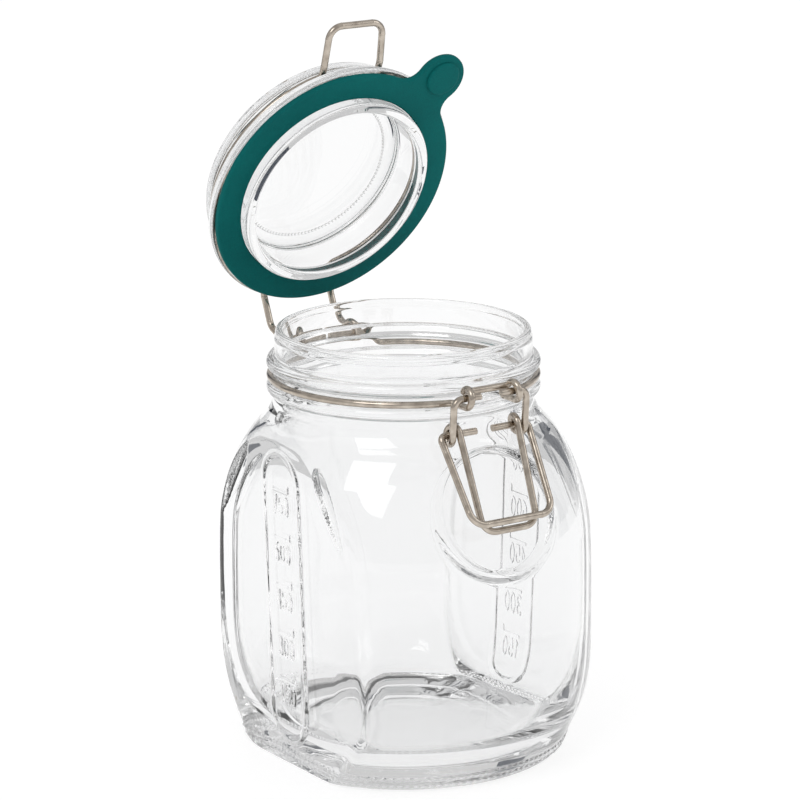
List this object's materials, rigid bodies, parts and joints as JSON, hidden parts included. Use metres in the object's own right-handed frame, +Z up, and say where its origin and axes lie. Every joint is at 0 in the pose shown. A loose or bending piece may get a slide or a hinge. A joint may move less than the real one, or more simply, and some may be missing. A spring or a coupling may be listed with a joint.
{
  "type": "bail clamp jar",
  "caption": "Glass storage jar with flat sides, a hinged glass lid, a rubber seal with a pull tab, and a wire bail clamp.",
  "frame": {"origin": "centre of the foot, on the table, on the jar's axis", "axes": "+Z up the jar's axis, -Y towards the clamp, +Y towards the hinge, +X and -X through the two measuring flats"},
  "size_m": [0.0984, 0.1367, 0.2401],
  "materials": {
    "glass": "clear pressed glass",
    "seal": "matte, finely speckled",
    "wire": "drawn stainless wire"
  },
  "bodies": {
    "base": {"jar_body": "glass", "neck_wire": "wire"},
    "lid": {"glass_lid": "glass", "seal_ring": "seal", "lid_wire": "wire"},
    "lever": {"lever": "wire"},
    "link": {"latch_link": "wire"}
  },
  "joints": [
    {"name": "lid_hinge", "type": "hinge", "parent": "base", "child": "lid", "pos_m": [0, 0.0503, 0.1305], "axis": [1, 0, 0], "range_deg": [-45, 66.5]},
    {"name": "lever_pivot", "type": "hinge", "parent": "base", "child": "lever", "pos_m": [0, -0.0502, 0.1301], "axis": [-1, 0, 0], "range_deg": [0, 110]},
    {"name": "link_pivot", "type": "hinge", "parent": "lever", "child": "link", "pos_m": [0, -0.0466, 0.1178], "axis": [-1, 0, 0], "range_deg": [0, 60]}
  ]
}
